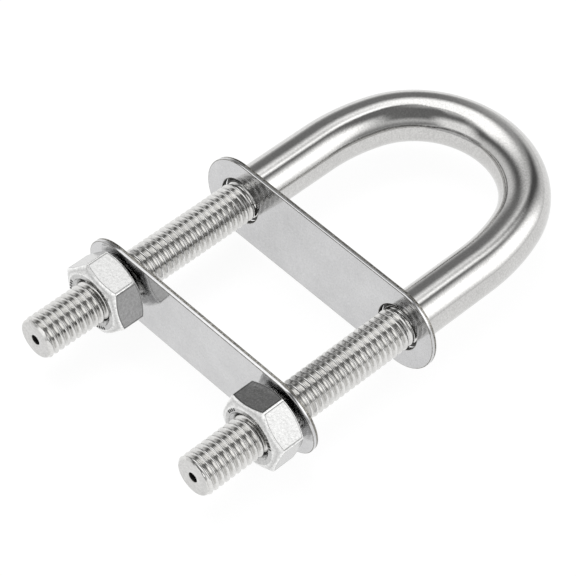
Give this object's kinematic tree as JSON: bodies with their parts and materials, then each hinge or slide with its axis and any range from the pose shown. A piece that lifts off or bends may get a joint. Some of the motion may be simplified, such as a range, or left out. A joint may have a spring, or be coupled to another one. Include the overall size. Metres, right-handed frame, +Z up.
{
  "type": "u-bolt",
  "caption": "U-bolt bent from round bar, with threaded legs, strap plates with round ends, and hexagon nuts that draw the outer plate along the legs.",
  "frame": {"origin": "on the clamping face of the inner plate, midway between the legs and on the plane of the bend", "axes": "+Y along the legs towards the arch, +X across the legs towards the right leg, +Z up, square to the plane of the bend"},
  "size_m": [0.0559, 0.0962, 0.0171],
  "materials": {
    "polished_bar": "polished stainless steel, drawn grain, cut threads",
    "strap_plate": "bright stainless sheet with tumbled edges",
    "nut_steel": "stainless steel, turned faces and flats"
  },
  "bodies": {
    "u_bolt": {"u_bolt": "polished_bar"},
    "inner_plate": {"inner_plate": "strap_plate"},
    "outer_plate": {"outer_plate": "strap_plate"},
    "left_nut": {"left_nut": "nut_steel"},
    "right_nut": {"right_nut": "nut_steel"}
  },
  "joints": [
    {"name": "left_nut_spin", "type": "hinge", "parent": "outer_plate", "child": "left_nut", "pos_m": [-0.0195, -0.03138, 0], "axis": [0, 1, 0], "range_deg": [-3540, 3600]},
    {"name": "right_nut_spin", "type": "hinge", "parent": "outer_plate", "child": "right_nut", "pos_m": [0.0195, -0.03138, 0], "axis": [0, 1, 0], "range_deg": [-3540, 3600]},
    {"name": "outer_plate_slide", "type": "slide", "parent": "u_bolt", "child": "outer_plate", "axis": [0, 1, 0], "range_m": [-0.0123, 0.0125]},
    {"name": "inner_plate_slide", "type": "slide", "parent": "u_bolt", "child": "inner_plate", "axis": [0, 1, 0], "range_m": [-0.012, 0]}
  ],
  "couplings": [
    {"joint": "right_nut_spin", "follows": "left_nut_spin", "ratio": 1},
    {"joint": "outer_plate_slide", "follows": "left_nut_spin", "m_per_rad": 0.00019894}
  ]
}
